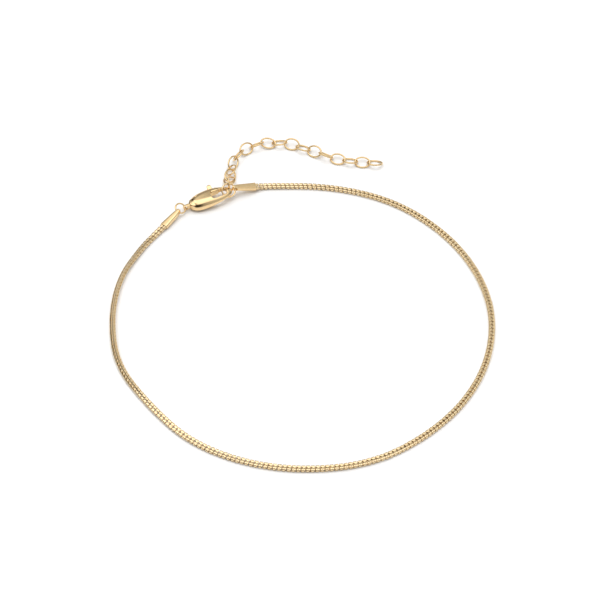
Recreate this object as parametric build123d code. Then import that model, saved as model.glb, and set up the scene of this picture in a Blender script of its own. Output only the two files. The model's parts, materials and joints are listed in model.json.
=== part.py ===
from build123d import *
import os
from math import cos, radians, sin, tan

# A fine flat-chain anklet with a lobster clasp and an extender chain, lying closed on a surface.
# Millimetres, +Z up, z = 0 is the surface, and the origin is the middle of the chain's loop.
# The clasp is at the back left, and the extender trails off behind it to the right.

os.makedirs("parts", exist_ok=True)

# --- Flat chain -------------------------------------------------------------------------------
CHAIN_WIDTH = 1.20
CHAIN_THICKNESS = 0.55
CHAIN_CORNER = 0.12
CHAIN_IN_CAP = 1.80
# Distance from the clasp-side cap's hole to where the chain lies down on the surface.
CHAIN_LANDING = 7.7
# Bends of the lying chain, round the loop from the clasp-side cap to the ring-side cap.
CHAIN_POINTS = [
    (-31.5, 19.3), (-35.4, 11.6), (-36.5, 1.0), (-35.0, -11.0), (-28.5, -21.0), (-21.0, -29.5),
    (-10.5, -34.8), (1.0, -36.5), (13.0, -34.6), (23.0, -28.3), (31.0, -19.5), (35.6, -8.5),
    (36.5, 3.5), (33.3, 15.0), (27.0, 24.7), (17.6, 32.4), (5.5, 36.3), (-6.9, 36.2),
]

# --- Extender chain ---------------------------------------------------------------------------
EXTENDER_DIAMETER = 2.35
EXTENDER_POINTS = [
    (-14.4, 35.3), (-14.2, 38.8), (-13.4, 43.0), (-10.6, 46.6), (-5.4, 48.1), (-0.4, 46.8),
    (4.4, 44.1), (9.9, 42.5), (16.2, 42.1),
]

# Share of the shorter run that each bend of a chain takes up.
BEND_SHARE = 0.45

# Cutting solids reach this far each way, well past the sides of any piece but the chains.
THROUGH = 4.0

# --- Lobster clasp: u runs from the bail's hole to the nose, v across, w through it -----------
CLASP_ORIGIN = (-22.75, 29.78, 0.94)
CLASP_HEADING = 25.8
CLASP_RISE = 5.2
CLASP_NOSE = 10.00
BODY_START = 0.85
BODY_OUTLINE = [
    (BODY_START, 0.0), (1.35, 1.15), (2.6, 1.78), (5.0, 2.05), (7.4, 1.72), (9.15, 0.90),
    (CLASP_NOSE, -0.2), (9.2, -1.25), (7.4, -1.8), (5.0, -1.95), (2.6, -1.75), (1.35, -1.15),
]
# Half thickness of the body at stations along u.
BODY_HALF_THICKNESS = [(0.3, 0.62), (2.2, 1.02), (4.8, 0.98), (7.4, 0.63), (10.8, 0.32)]
BODY_ROUNDING = 0.34
BAIL_WIDTH = 0.54
BAIL_HALF_HEIGHT = 0.58
BAIL_REACH = 0.50
BAIL_HOLE = (0.39, 0.45)
EYE_START, EYE_BACK = 5.50, 0.58
EYE_OUTLINE = [(EYE_START, -1.35), (8.75, -1.08), (8.85, 0.76), (EYE_START, EYE_BACK)]
EYE_CORNER, EYE_ROUNDING = 0.55, 0.12
RIM_SLACK = 0.05

# --- Clasp lever ------------------------------------------------------------------------------
PIVOT = (2.70, 0.95)
PIN_RADIUS = 0.25
PIN_LENGTH = 1.76
PIN_FIT = 0.02
LEVER_BORE_FIT = 0.05
HUB_RADIUS = 0.70
ARM_HALF_HEIGHT = 0.36
TONGUE_HALF_HEIGHT = 0.66
# The tongue lies between these distances from the pivot, and swings in a window a gap larger.
TONGUE_START, TONGUE_END = 3.18, 4.68
TONGUE_GAP = 0.08
TONGUE_OUTER = 1.84
WINDOW_DEPTH = 0.65
LEVER_BACK, LEVER_SHOULDER = (5.0, 2.00), (3.1, 1.72)
KNOB_CENTRE = (6.10, 2.12)
KNOB_RADIUS = 0.48
# The slot that the lever's hub and arm swing in, open at the clasp's back.
SLOT_HALF_HEIGHT = 0.42
SLOT_START = PIVOT[0] - HUB_RADIUS - TONGUE_GAP
SLOT_FLOOR = PIVOT[1] - HUB_RADIUS - TONGUE_GAP - 0.05
SLOT_OUTLINE = [
    (SLOT_START, THROUGH), (SLOT_START, 0.55), (2.30, SLOT_FLOOR), (5.80, -0.67), (6.10, THROUGH),
]

# --- Rings: centre line radius and wire radius; then heading and rise of the axis that its
# angles are counted from, and roll about that axis --------------------------------------------
JUMP_RING_RADIUS, JUMP_RING_WIRE = 1.03, 0.165
JUMP_RING_TURN = (37.0, -6.0, 26.0)
# How far the ring pulls back from the middle of the bail's hole.
JUMP_RING_PULL = -0.07
JUMP_RING_AT_BAIL, JUMP_RING_AT_CAP = -15.0, 207.0
END_RING_RADIUS, END_RING_WIRE = 1.32, 0.165
END_RING_TURN = (13.0, -3.0, 38.0)
END_RING_AT_CAP = 14.0
END_RING_CENTRE = (9.26, -0.20, 0.04)

# --- End caps: x runs from the ring hole to the mouth -----------------------------------------
CAP_LENGTH = 4.40
CAP_HALF_WIDTH = [(-0.48, 0.36), (0.0, 0.41), (0.8, 0.56), (2.4, 0.66), (CAP_LENGTH, 0.78)]
CAP_HALF_THICKNESS = [(-0.48, 0.46), (0.0, 0.58), (0.8, 0.53), (2.4, 0.52), (CAP_LENGTH, 0.53)]
CAP_ROUNDING = 0.14
CAP_HOLE = (0.41, 0.49)
CAP_CAVITY = (2.10, 0.65, 0.43)
CLASP_CAP_ROLL, RING_CAP_ROLL = -3.0, 13.0


def frame(origin, heading, rise=0.0, roll=0.0):
    """Plane whose x axis has this heading and rise, rolled about that axis."""
    turn = Location(origin, (0, 0, heading)) * Location((0, 0, 0), (0, -rise, 0))
    return Plane(turn * Location((0, 0, 0), (roll, 0, 0)))


def bent_route(points):
    """Straight runs joined by tangent arcs, and the radii of those arcs."""
    corners = [Vector(*point) for point in points]
    radii = []
    for before, corner, after in zip(corners, corners[1:], corners[2:]):
        run_in, run_out = corner - before, after - corner
        half_turn = radians(run_in.get_angle(run_out)) / 2
        radii.append(BEND_SHARE * min(run_in.length, run_out.length) / tan(half_turn))
    return FilletPolyline(*points, radius=radii), radii


def mirrored_profile(stations):
    """Closed face that lies evenly on both sides of its axis, from half widths at stations."""
    upper = [(x, half) for x, half in stations]
    lower = [(x, -half) for x, half in stations]
    edges = [
        Spline(*upper),
        Line(upper[-1], lower[-1]),
        Spline(*reversed(lower)),
        Line(lower[0], upper[0]),
    ]
    return make_face(edges)


def ring_point(plane, radius, angle):
    """Point of a ring's centre line at this angle from its first axis."""
    return plane.from_local_coords((radius * cos(radians(angle)), radius * sin(radians(angle)), 0))


def tall(plan):
    """Solid of this face that reaches past both sides of a piece."""
    return extrude(plan, amount=THROUGH, both=True)


def bail():
    """Lug at the clasp's tail, with its end cut square."""
    side = Pos(BODY_START / 2, 0) * Rectangle(2 * BODY_START, 2 * BAIL_HALF_HEIGHT)
    side += Circle(BAIL_HALF_HEIGHT)
    side -= Pos(-BAIL_REACH - THROUGH / 2, 0) * Rectangle(THROUGH, THROUGH)
    return extrude(Plane.XZ * side, amount=BAIL_WIDTH / 2, both=True)


def clasp_body():
    """Cast hook with a bail, an eye, a side opening for the tongue and a slot for the lever."""
    plan = tall(make_face(Spline(*BODY_OUTLINE, periodic=True)))
    side = tall(Plane.XZ * mirrored_profile(BODY_HALF_THICKNESS))
    body = plan & side
    thinnest = BODY_HALF_THICKNESS[-1][1]
    rims = body.edges().filter_by(lambda edge: abs(edge.center().Z) > thinnest / 2)
    body = fillet(rims, BODY_ROUNDING)

    eye = Polygon(*EYE_OUTLINE, align=None)
    body -= tall(fillet(eye.vertices(), EYE_CORNER))
    body = fillet([edge for edge in body.edges() if is_rim_of_eye(edge)], EYE_ROUNDING)

    body -= tall(tongue_window())
    body -= extrude(Polygon(*SLOT_OUTLINE, align=None), amount=SLOT_HALF_HEIGHT, both=True)
    body += bail()
    body -= tall(Plane.XZ * Ellipse(*BAIL_HOLE))
    return body - Pos(*PIVOT, 0) * Cylinder(PIN_RADIUS + PIN_FIT, THROUGH)


def is_rim_of_eye(edge):
    """Whether an edge runs round the eye's top or bottom."""
    middle = edge.center()
    (low_u, low_v), (far_u, far_v) = EYE_OUTLINE[0], EYE_OUTLINE[2]
    near_eye = low_u - RIM_SLACK < middle.X < far_u + RIM_SLACK
    near_eye = near_eye and low_v - RIM_SLACK < middle.Y < far_v + RIM_SLACK
    upright = edge.bounding_box().size.Z > abs(middle.Z)
    return near_eye and abs(middle.Z) > SLOT_HALF_HEIGHT - RIM_SLACK and not upright


def tongue_window():
    """Part of a flat ring about the pivot, at the clasp's back, where the tongue swings."""
    inner, outer = TONGUE_START - TONGUE_GAP, TONGUE_END + TONGUE_GAP
    band = Pos(*PIVOT) * (Circle(outer) - Circle(inner))
    return band & Pos(PIVOT[0] + THROUGH, EYE_BACK - WINDOW_DEPTH + THROUGH / 2) * Rectangle(
        2 * THROUGH, THROUGH
    )


def clasp_lever():
    """Lever with its hub on the pin, an arm in the slot, a thick tongue and a thumb knob."""
    hub = Vector(*PIVOT)
    tip_start, tip_end = [
        hub + Vector((TONGUE_END**2 - (v - hub.Y) ** 2) ** 0.5, v - hub.Y)
        for v in (EYE_BACK, TONGUE_OUTER)
    ]
    edges = [
        Polyline(hub - Vector(0, HUB_RADIUS), (EYE_START, EYE_BACK), tip_start),
        RadiusArc(tip_start, tip_end, -TONGUE_END),
        ThreePointArc(tip_end, LEVER_BACK, LEVER_SHOULDER),
        Line(LEVER_SHOULDER, hub + Vector(0, HUB_RADIUS)),
        Line(hub + Vector(0, HUB_RADIUS), hub - Vector(0, HUB_RADIUS)),
    ]
    plan = make_face(edges)
    plan += Pos(*PIVOT) * Circle(HUB_RADIUS)
    plan += Pos(*KNOB_CENTRE) * Circle(KNOB_RADIUS)
    lever = extrude(plan, TONGUE_HALF_HEIGHT, both=True)
    relief = Pos(*PIVOT, ARM_HALF_HEIGHT + THROUGH / 2) * Cylinder(TONGUE_START, THROUGH)
    lever -= relief + mirror(relief, Plane.XY)
    return lever - Pos(*PIVOT, 0) * Cylinder(PIN_RADIUS + LEVER_BORE_FIT, THROUGH)


def end_cap():
    """Tapered sleeve that grips the chain, with a hole across its narrow end for a ring."""
    cap = tall(mirrored_profile(CAP_HALF_WIDTH)) & tall(Plane.XZ * mirrored_profile(CAP_HALF_THICKNESS))
    long_edges = cap.edges().filter_by(lambda edge: edge.length > CAP_LENGTH / 2)
    cap = fillet(long_edges, CAP_ROUNDING)
    depth, half_width, half_height = CAP_CAVITY
    cap -= Pos(CAP_LENGTH, 0, 0) * Box(2 * depth, 2 * half_width, 2 * half_height)
    return cap - tall(Plane.XZ * Ellipse(*CAP_HOLE))


def lying(point):
    """Place of a chain point with the chain resting on the surface."""
    return Vector(*point, CHAIN_THICKNESS / 2)


def landing(hole, bend):
    """Where the chain lies down, in line between a cap's ring hole and its first bend."""
    way = lying(bend) - lying((hole.X, hole.Y))
    return lying((hole.X, hole.Y)) + way.normalized() * CHAIN_LANDING


def cap_frame(hole, landed, roll):
    """Plane of an end cap whose axis comes up from where the chain lies down."""
    axis = landed - hole
    level = Plane(origin=hole, x_dir=axis, z_dir=axis.cross(Vector(-axis.Y, axis.X, 0)))
    return Plane(level.location * Location((0, 0, 0), (roll, 0, 0)))


def chain_ribbon(clasp_cap, ring_cap):
    """The flat chain as one ribbon, from inside one cap round the loop to inside the other."""
    inside = (CAP_LENGTH - CHAIN_IN_CAP, 0, 0)
    points = [clasp_cap.from_local_coords(inside), landing(clasp_cap.origin, CHAIN_POINTS[0])]
    points += [lying(point) for point in CHAIN_POINTS]
    points.append(ring_cap.from_local_coords(inside))
    path, radii = bent_route(points)
    start = Plane(origin=path @ 0, x_dir=(path % 0).cross(Vector(0, 0, 1)), z_dir=path % 0)
    section = start * RectangleRounded(CHAIN_WIDTH, CHAIN_THICKNESS, CHAIN_CORNER)
    return sweep(section, path=path), path, section, radii


def extender_tube():
    """The extender chain as one tube on the surface."""
    points = [(x, y, EXTENDER_DIAMETER / 2) for x, y in EXTENDER_POINTS]
    path, radii = bent_route(points)
    section = Plane(origin=path @ 0, z_dir=path % 0) * Circle(EXTENDER_DIAMETER / 2)
    return sweep(section, path=path), path, section, radii


def report_sweep(name, solid, path, section, radii):
    """Print the bends of a swept piece, and its volume against section times length."""
    print(name, "radii", [round(radius, 1) for radius in radii])
    print(name, "length", round(path.length, 2), "volume", round(solid.volume, 3),
          "section x length", round(section.area * path.length, 3))


clasp = frame(CLASP_ORIGIN, CLASP_HEADING, rise=CLASP_RISE)

# The jump ring hangs between the clasp's bail and the clasp-side cap.
jump_turn = frame((0, 0, 0), *JUMP_RING_TURN)
jump_hang = clasp.from_local_coords((JUMP_RING_PULL, 0, 0))
jump_centre = jump_hang - ring_point(jump_turn, JUMP_RING_RADIUS, JUMP_RING_AT_BAIL)
jump_plane = frame(jump_centre, *JUMP_RING_TURN)

# The end ring goes through the clasp's eye and the ring-side cap.
end_plane = frame(clasp.from_local_coords(END_RING_CENTRE), *END_RING_TURN)

clasp_cap_hole = ring_point(jump_plane, JUMP_RING_RADIUS, JUMP_RING_AT_CAP)
ring_cap_hole = ring_point(end_plane, END_RING_RADIUS, END_RING_AT_CAP)
clasp_cap = cap_frame(clasp_cap_hole, landing(clasp_cap_hole, CHAIN_POINTS[0]), CLASP_CAP_ROLL)
ring_cap = cap_frame(ring_cap_hole, lying(CHAIN_POINTS[-1]), RING_CAP_ROLL)

ribbon, ribbon_path, ribbon_section, ribbon_radii = chain_ribbon(clasp_cap, ring_cap)
tube, tube_path, tube_section, tube_radii = extender_tube()

parts = {
    "chain": ribbon,
    "end_cap_clasp_side": clasp_cap * end_cap(),
    "end_cap_ring_side": ring_cap * end_cap(),
    "jump_ring": jump_plane * Torus(JUMP_RING_RADIUS, JUMP_RING_WIRE),
    "clasp_body": clasp * clasp_body(),
    "clasp_lever": clasp * clasp_lever(),
    "lever_pin": clasp * Pos(*PIVOT, 0) * Cylinder(PIN_RADIUS, PIN_LENGTH),
    "end_ring": end_plane * Torus(END_RING_RADIUS, END_RING_WIRE),
    "extender_chain": tube,
}
for node, solid in parts.items():
    export_step(solid, f"parts/{node}.step")

report_sweep("chain", ribbon, ribbon_path, ribbon_section, ribbon_radii)
report_sweep("extender_chain", tube, tube_path, tube_section, tube_radii)
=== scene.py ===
import json
import math

import bmesh
import bpy
import numpy as np
from bpy.props import FloatProperty, FloatVectorProperty, PointerProperty
from mathutils import Matrix, Vector
from mathutils.kdtree import KDTree


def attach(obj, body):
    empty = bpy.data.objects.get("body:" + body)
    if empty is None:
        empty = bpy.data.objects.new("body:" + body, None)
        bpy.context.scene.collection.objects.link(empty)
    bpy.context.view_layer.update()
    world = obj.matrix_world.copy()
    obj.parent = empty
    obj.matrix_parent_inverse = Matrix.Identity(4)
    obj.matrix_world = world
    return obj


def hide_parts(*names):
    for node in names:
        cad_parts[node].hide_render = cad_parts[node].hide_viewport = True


bl_info = {
    "name": "Chain Anklet",
    "version": (1, 0, 0),
    "blender": (4, 5, 0),
    "location": "3D View > Sidebar > Anklet",
    "description": "Builds a fine flat chain anklet with a lobster clasp and an extender chain",
    "category": "Object",
}

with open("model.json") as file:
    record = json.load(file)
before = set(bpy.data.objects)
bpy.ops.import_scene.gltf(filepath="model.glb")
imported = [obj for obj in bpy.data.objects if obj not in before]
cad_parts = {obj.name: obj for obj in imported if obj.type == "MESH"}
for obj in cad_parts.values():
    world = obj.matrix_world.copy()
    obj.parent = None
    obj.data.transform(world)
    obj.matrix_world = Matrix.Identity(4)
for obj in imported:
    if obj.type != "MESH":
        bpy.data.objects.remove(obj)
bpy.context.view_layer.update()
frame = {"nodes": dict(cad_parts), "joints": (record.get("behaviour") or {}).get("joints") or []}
MM = 0.001

# The chain's route, in metres: out of the clasp's end cap, down the left side, round the front and back
# to the other end cap. The CAD solid's points, some of them moved by a few tenths of a millimetre.
FLOOR_LINE = 0.00035
CHAIN_ROUTE = (
    [(-0.0258393, 0.026429, 0.0007869), (-0.0290187, 0.0224249, FLOOR_LINE)]
    + [
        (x, y, FLOOR_LINE)
        for x, y in (
            (-0.0312, 0.01915), (-0.03515, 0.0115), (-0.0365, 0.0010), (-0.0350, -0.0110),
            (-0.0285, -0.0210), (-0.0210, -0.0295), (-0.0105, -0.0348), (0.0010, -0.0365),
            (0.01305, -0.03475), (0.0231, -0.0284), (0.0310, -0.0195), (0.0357, -0.00855),
            (0.03662, 0.0035), (0.0333, 0.0150), (0.02693, 0.0246), (0.0176, 0.0323),
            (0.0055, 0.0361), (-0.00725, 0.0361),
        )
    ]
    + [(-0.00894, 0.035573, 0.000807), (-0.0107692, 0.034932, 0.0013086)]
)
# How far the flat chain is turned about its own line, as (metres along it, degrees). A plus lifts the
# inner edge.
CHAIN_TWIST = (
    (0.000, -1), (0.0045, -1), (0.009, 18), (0.015, 38), (0.022, 43), (0.038, 43), (0.042, 50),
    (0.0465, 50), (0.0495, 34), (0.056, 26), (0.062, 12), (0.070, 5), (0.100, 4), (0.150, 3), (0.195, 1),
    (0.2035, -6), (0.206, -9), (0.211, -10),
)

# The extender's route, from inside the end ring to its free end.
EXTENDER_HEIGHT = 0.001175
EXTENDER_ROUTE = [
    (x, y, EXTENDER_HEIGHT)
    for x, y in (
        (-0.0144, 0.0348), (-0.0142, 0.0388), (-0.0134, 0.0430), (-0.0106, 0.0466), (-0.0054, 0.0481),
        (-0.0004, 0.0468), (0.0044, 0.0441), (0.0099, 0.0425), (0.0162, 0.0421),
    )
]


# ---- settings

LENGTH = {"unit": "LENGTH", "precision": 5}
SHARE = {"subtype": "FACTOR", "min": 0, "max": 1}
COLOUR = {"subtype": "COLOR", "min": 0, "max": 1}


class ChainSettings(bpy.types.PropertyGroup):
    """Sizes of the flat chain."""

    width: FloatProperty(name="Width", description="Width of the flat chain", default=0.00128, **LENGTH)
    thickness: FloatProperty(
        name="Thickness", description="Thickness of the flat chain", default=0.00070, **LENGTH
    )
    pitch: FloatProperty(
        name="Link pitch", description="Distance from one link to the next", default=0.00088, **LENGTH
    )
    wire_width: FloatProperty(
        name="Wire width", description="Width of the flattened link wire", default=0.00037, **LENGTH
    )
    wire_thickness: FloatProperty(
        name="Wire thickness", description="Thickness of the flattened link wire", default=0.00024, **LENGTH
    )
    slant: FloatProperty(
        name="Slant", description="Angle of the wires to the chain's line", default=math.radians(56),
        subtype="ANGLE",
    )
    looseness: FloatProperty(
        name="Looseness", description="How unevenly the links sit, from 0 to 1", default=0.35, **SHARE
    )


class ExtenderSettings(bpy.types.PropertyGroup):
    """Sizes of the extender's oval links."""

    link_length: FloatProperty(
        name="Link length", description="Outside length of an oval link", default=0.00326, **LENGTH
    )
    link_width: FloatProperty(
        name="Link width", description="Outside width of an oval link", default=0.00250, **LENGTH
    )
    wire: FloatProperty(name="Wire", description="Diameter of the link wire", default=0.00034, **LENGTH)


class FinishSettings(bpy.types.PropertyGroup):
    """Colours and wear of the plating, and the colour of the painted shade in its gaps."""

    gold: FloatVectorProperty(
        name="Plating", description="Colour of the gold-tone plating", default=(0.93, 0.70, 0.39), **COLOUR
    )
    warm: FloatVectorProperty(
        name="Warm patches", description="Colour where the plating is thicker",
        default=(0.88, 0.60, 0.29), **COLOUR,
    )
    worn: FloatVectorProperty(
        name="Worn edges", description="Colour where edges are rubbed bright",
        default=(0.98, 0.86, 0.62), **COLOUR,
    )
    # Painted shade: the dark colour laid into narrow gaps and hollows, where ambient occlusion finds them.
    gap_shade: FloatVectorProperty(
        name="Painted gap shade", description="Colour of the painted shade in the gaps", default=(0.07, 0.038, 0.014), **COLOUR
    )
    wear: FloatProperty(
        name="Wear", description="How strongly edges are rubbed bright", default=0.5, **SHARE
    )


class StageSettings(bpy.types.PropertyGroup):
    """Floor, light and camera."""

    floor: FloatVectorProperty(
        name="Floor", description="Colour of the table", default=(0.93, 0.93, 0.93), **COLOUR
    )
    light: FloatProperty(name="Light", description="Strength of the studio light", default=1.0, min=0)
    camera_distance: FloatProperty(
        name="Camera distance", description="From the camera to what it looks at", default=0.75, **LENGTH
    )
    camera_height: FloatProperty(
        name="Camera height angle", description="Angle of the camera above the table",
        default=math.radians(48), subtype="ANGLE",
    )


# ---- mesh helpers

# The chain's and the extender's lines are evaluated this finely between their points.
ROUTE_STEPS = 32
# Corners of a casting's CAD mesh that are nearer than this, in millimetres, are one.
WELD_REACH = 1e-4


def link_object(name, data):
    """Puts a mesh, curve, lamp or camera into the scene."""
    holder = bpy.data.objects.new(name, data)
    bpy.context.scene.collection.objects.link(holder)
    return holder


def shade_smooth(mesh):
    mesh.polygons.foreach_set("use_smooth", np.ones(len(mesh.polygons), bool))
    mesh.update()


def new_piece(name, verts, faces):
    """A smooth piece from an array of points and an array of faces."""
    mesh = bpy.data.meshes.new(name)
    mesh.from_pydata(np.asarray(verts).tolist(), [], np.asarray(faces).tolist())
    shade_smooth(mesh)
    return link_object(name, mesh)


def closed_piece(name, verts, faces):
    """A piece from a tube's points and faces, with its ends closed and all faces turned outward."""
    piece = new_piece(name, verts, faces)
    work = bmesh.new()
    work.from_mesh(piece.data)
    bmesh.ops.holes_fill(work, edges=[e for e in work.edges if e.is_boundary], sides=0)
    bmesh.ops.recalc_face_normals(work, faces=work.faces)
    work.to_mesh(piece.data)
    work.free()
    return piece


def vectors(items, key="co"):
    """An array of a mesh's points, or of another vector that each of these has."""
    rows = np.empty(len(items) * 3)
    items.foreach_get(key, rows)
    return rows.reshape(-1, 3)


def route_line(points, name):
    """The points of a smooth NURBS line with these control points."""
    curve = bpy.data.curves.new(name, "CURVE")
    curve.dimensions = "3D"
    curve.resolution_u = ROUTE_STEPS
    spline = curve.splines.new("NURBS")
    spline.points.add(len(points) - 1)
    for place, point in zip(spline.points, points):
        place.co = (*point, 1.0)
    spline.order_u = 3
    spline.use_endpoint_u = True
    holder = link_object(name, curve)
    depsgraph = bpy.context.evaluated_depsgraph_get()
    mesh = bpy.data.meshes.new_from_object(holder.evaluated_get(depsgraph))
    line = vectors(mesh.vertices)
    bpy.data.objects.remove(holder)
    bpy.data.curves.remove(curve)
    bpy.data.meshes.remove(mesh)
    return line


def unit(rows):
    return rows / np.linalg.norm(rows, axis=-1, keepdims=True)


class Line:
    """A smooth line that gives its place and its directions at any distance along it."""

    def __init__(self, points):
        self.points = points
        steps = np.linalg.norm(np.diff(points, axis=0), axis=1)
        self.at = np.concatenate([[0], np.cumsum(steps)])
        self.length = self.at[-1]
        self.along = unit(np.gradient(points, self.at, axis=0))

    def look(self, table, distance):
        return np.stack([np.interp(distance, self.at, table[:, i]) for i in range(3)], axis=-1)

    def place(self, distance):
        return self.look(self.points, distance)

    def directions(self, distance, roll):
        """Along, across to the left, and up, with the last two turned by roll about the line."""
        along = unit(self.look(self.along, distance))
        left = unit(np.cross(np.array([0.0, 0.0, 1.0]), along))
        up = np.cross(along, left)
        c, s = np.cos(roll)[..., None], np.sin(roll)[..., None]
        return along, left * c + up * s, up * c - left * s


def oval(first, second, sides):
    """Points round an oval about the origin, from its two half axes."""
    angle = np.arange(sides) * math.tau / sides
    return np.cos(angle)[:, None] * first + np.sin(angle)[:, None] * second


def skin_faces(rings, sides, closed=False):
    """Faces over rings of points. Each goes from a corner to the next ring and back beside itself."""
    i = np.arange(rings if closed else rings - 1)[:, None]
    j = np.arange(sides)[None]
    after, beside = (i + 1) % rings, (j + 1) % sides
    faces = np.stack([i * sides + j, after * sides + j, after * sides + beside, i * sides + beside], axis=-1)
    return faces.reshape(-1, 4)


# The order of a face's corners that turns it over and keeps its first corner.
TURNED = [0, 3, 2, 1]


def round_skin(centres, first, second, radii, sides, closed=False):
    """A round skin along a line of points, from two directions across it. Returns points and faces."""
    rings = oval(first[:, None], second[:, None], sides)
    verts = (centres[:, None] + rings * radii[:, None, None]).reshape(-1, 3)
    return verts, skin_faces(len(centres), sides, closed)[:, ::-1]


def tube(centres, radius, sides, closed=True, first_normal=(0, 0, 1)):
    """A tube round a line of points, without twist. Returns points and faces."""
    count = len(centres)
    if closed:
        tangent = np.roll(centres, -1, axis=0) - np.roll(centres, 1, axis=0)
    else:
        tangent = np.gradient(centres, axis=0)
    tangent = unit(tangent)
    normal = np.array(first_normal, float)
    normals = []
    for t in tangent:
        normal = unit(normal - t * np.dot(normal, t))
        normals.append(normal)
    normals = np.array(normals)
    if closed:
        last = normals[-1] - tangent[0] * np.dot(normals[-1], tangent[0])
        side = np.cross(tangent[0], normals[0])
        twist = math.atan2(np.dot(last, side), np.dot(last, normals[0]))
        turn = -twist * np.arange(count) / count
        sideways = np.cross(tangent, normals)
        normals = normals * np.cos(turn)[:, None] + sideways * np.sin(turn)[:, None]
    radii = np.broadcast_to(np.asarray(radius, float), (count,))
    return round_skin(centres, normals, np.cross(tangent, normals), radii, sides, closed)


def repeat_faces(faces, verts_each, copies):
    """The faces of several copies of a mesh whose points follow one another."""
    return (faces[None] + verts_each * np.arange(copies)[:, None, None]).reshape(-1, faces.shape[1])


def settle(piece, body, node, material):
    """Puts a finished piece on its body, in place of its CAD node, with its finish."""
    piece.data.materials.clear()
    piece.data.materials.append(material)
    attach(piece, body)
    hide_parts(node)


def apply_modifiers(piece):
    """Makes a piece's modified mesh its own."""
    depsgraph = bpy.context.evaluated_depsgraph_get()
    final = bpy.data.meshes.new_from_object(piece.evaluated_get(depsgraph))
    old = piece.data
    piece.modifiers.clear()
    piece.data = final
    bpy.data.meshes.remove(old)
    final.name = piece.name
    shade_smooth(final)


def soften(piece, name, rounds):
    """Adds this many rounds of smoothing to a piece."""
    soft = piece.modifiers.new(name, "SMOOTH")
    soft.factor = 0.5
    soft.iterations = rounds


def even_skin(piece, grain, rounds):
    """Gives a piece an even skin with softened edges. Sizes in the mesh's own units."""
    skin = piece.modifiers.new("Even skin", "REMESH")
    skin.mode = "VOXEL"
    skin.voxel_size = grain
    skin.use_smooth_shade = True
    soften(piece, "Softened edges", rounds)
    apply_modifiers(piece)


def cast_copy(node, name, grain, rounds):
    """A copy of a CAD node as a casting: an even skin with softened edges. Sizes in millimetres."""
    mesh = frame["nodes"][node].data.copy()
    mesh.materials.clear()
    mesh.transform(Matrix.Scale(1 / MM, 4))
    piece = link_object(name, mesh)
    work = bmesh.new()
    work.from_mesh(mesh)
    bmesh.ops.remove_doubles(work, verts=work.verts, dist=WELD_REACH)
    work.to_mesh(mesh)
    work.free()
    even_skin(piece, grain, rounds)
    piece.data.transform(Matrix.Scale(MM, 4))
    return piece


def node_points(node):
    """The corner points of a CAD node's mesh."""
    return vectors(frame["nodes"][node].data.vertices)


def main_axes(points):
    """Centre, the three main directions from longest to shortest, and half extents along them."""
    middle = points.mean(axis=0)
    axes = np.linalg.svd(points - middle, full_matrices=False)[2]
    spread = (points - middle) @ axes.T
    low, high = spread.min(axis=0), spread.max(axis=0)
    return middle + ((low + high) / 2) @ axes, axes, (high - low) / 2


# ---- shader node groups


def put(tree, kind, x, y, **settings):
    """Adds a node of this kind at this place."""
    node = tree.nodes.new(kind)
    node.location = (x, y)
    for key, value in settings.items():
        setattr(node, key, value)
    return node


def give(tree, socket, value):
    """Links an output to a socket, or sets the socket's value."""
    if isinstance(value, bpy.types.NodeSocket):
        tree.links.new(value, socket)
    else:
        socket.default_value = value


def feed(tree, node, **values):
    """Gives a node's inputs by name. Underscores stand for spaces."""
    for key, value in values.items():
        give(tree, node.inputs[key.replace("_", " ")], value)
    return node


def maths(tree, operation, a, b, x, y, c=0.5, clamp=False):
    """One step of arithmetic. Only MULTIPLY_ADD uses c."""
    node = put(tree, "ShaderNodeMath", x, y, operation=operation, use_clamp=clamp)
    for socket, value in zip(node.inputs, (a, b, c)):
        give(tree, socket, value)
    return node.outputs[0]


def spread_values(tree, value, low, high, to_low, to_high, x, y, smooth=False):
    """Carries a value from one range to another, and holds it at the ends."""
    node = put(tree, "ShaderNodeMapRange", x, y, clamp=True)
    if smooth:
        node.interpolation_type = "SMOOTHSTEP"
    feed(tree, node, Value=value, From_Min=low, From_Max=high, To_Min=to_low, To_Max=to_high)
    return node.outputs["Result"]


def blend_colours(tree, amount, a, b, x, y):
    """Colour a where the amount is 0, and b where it is 1."""
    node = put(tree, "ShaderNodeMix", x, y, data_type="RGBA", blend_type="MIX")
    for place, value in ((0, amount), (6, a), (7, b)):
        give(tree, node.inputs[place], value)
    return node.outputs[2]


def noise(tree, where, scale, detail, roughness, x, y):
    """Cloudy noise between 0 and 1."""
    node = put(tree, "ShaderNodeTexNoise", x, y)
    return feed(tree, node, Vector=where, Scale=scale, Detail=detail, Roughness=roughness).outputs["Fac"]


def millimetres(tree, x, y, stretch=(1, 1, 1)):
    """Object coordinates in millimetres."""
    where = put(tree, "ShaderNodeTexCoord", x, y)
    scale = put(tree, "ShaderNodeMapping", x + 180, y, vector_type="POINT")
    feed(tree, scale, Scale=[s / MM for s in stretch], Vector=where.outputs["Object"])
    return scale.outputs["Vector"]


def new_group(name, inputs, outputs):
    """A shader node group with these sockets and values, where a colour's value has four numbers.
    Returns the group, the outputs of its first node, and its last node."""
    group = bpy.data.node_groups.new(name, "ShaderNodeTree")
    for way, sockets in (("INPUT", inputs), ("OUTPUT", outputs)):
        for label, value in sockets.items():
            kind = "NodeSocketColor" if isinstance(value, tuple) else "NodeSocketFloat"
            group.interface.new_socket(name=label, in_out=way, socket_type=kind).default_value = value
    start = put(group, "NodeGroupInput", -900, 0)
    return group, start.outputs, put(group, "NodeGroupOutput", 700, 0)


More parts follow.
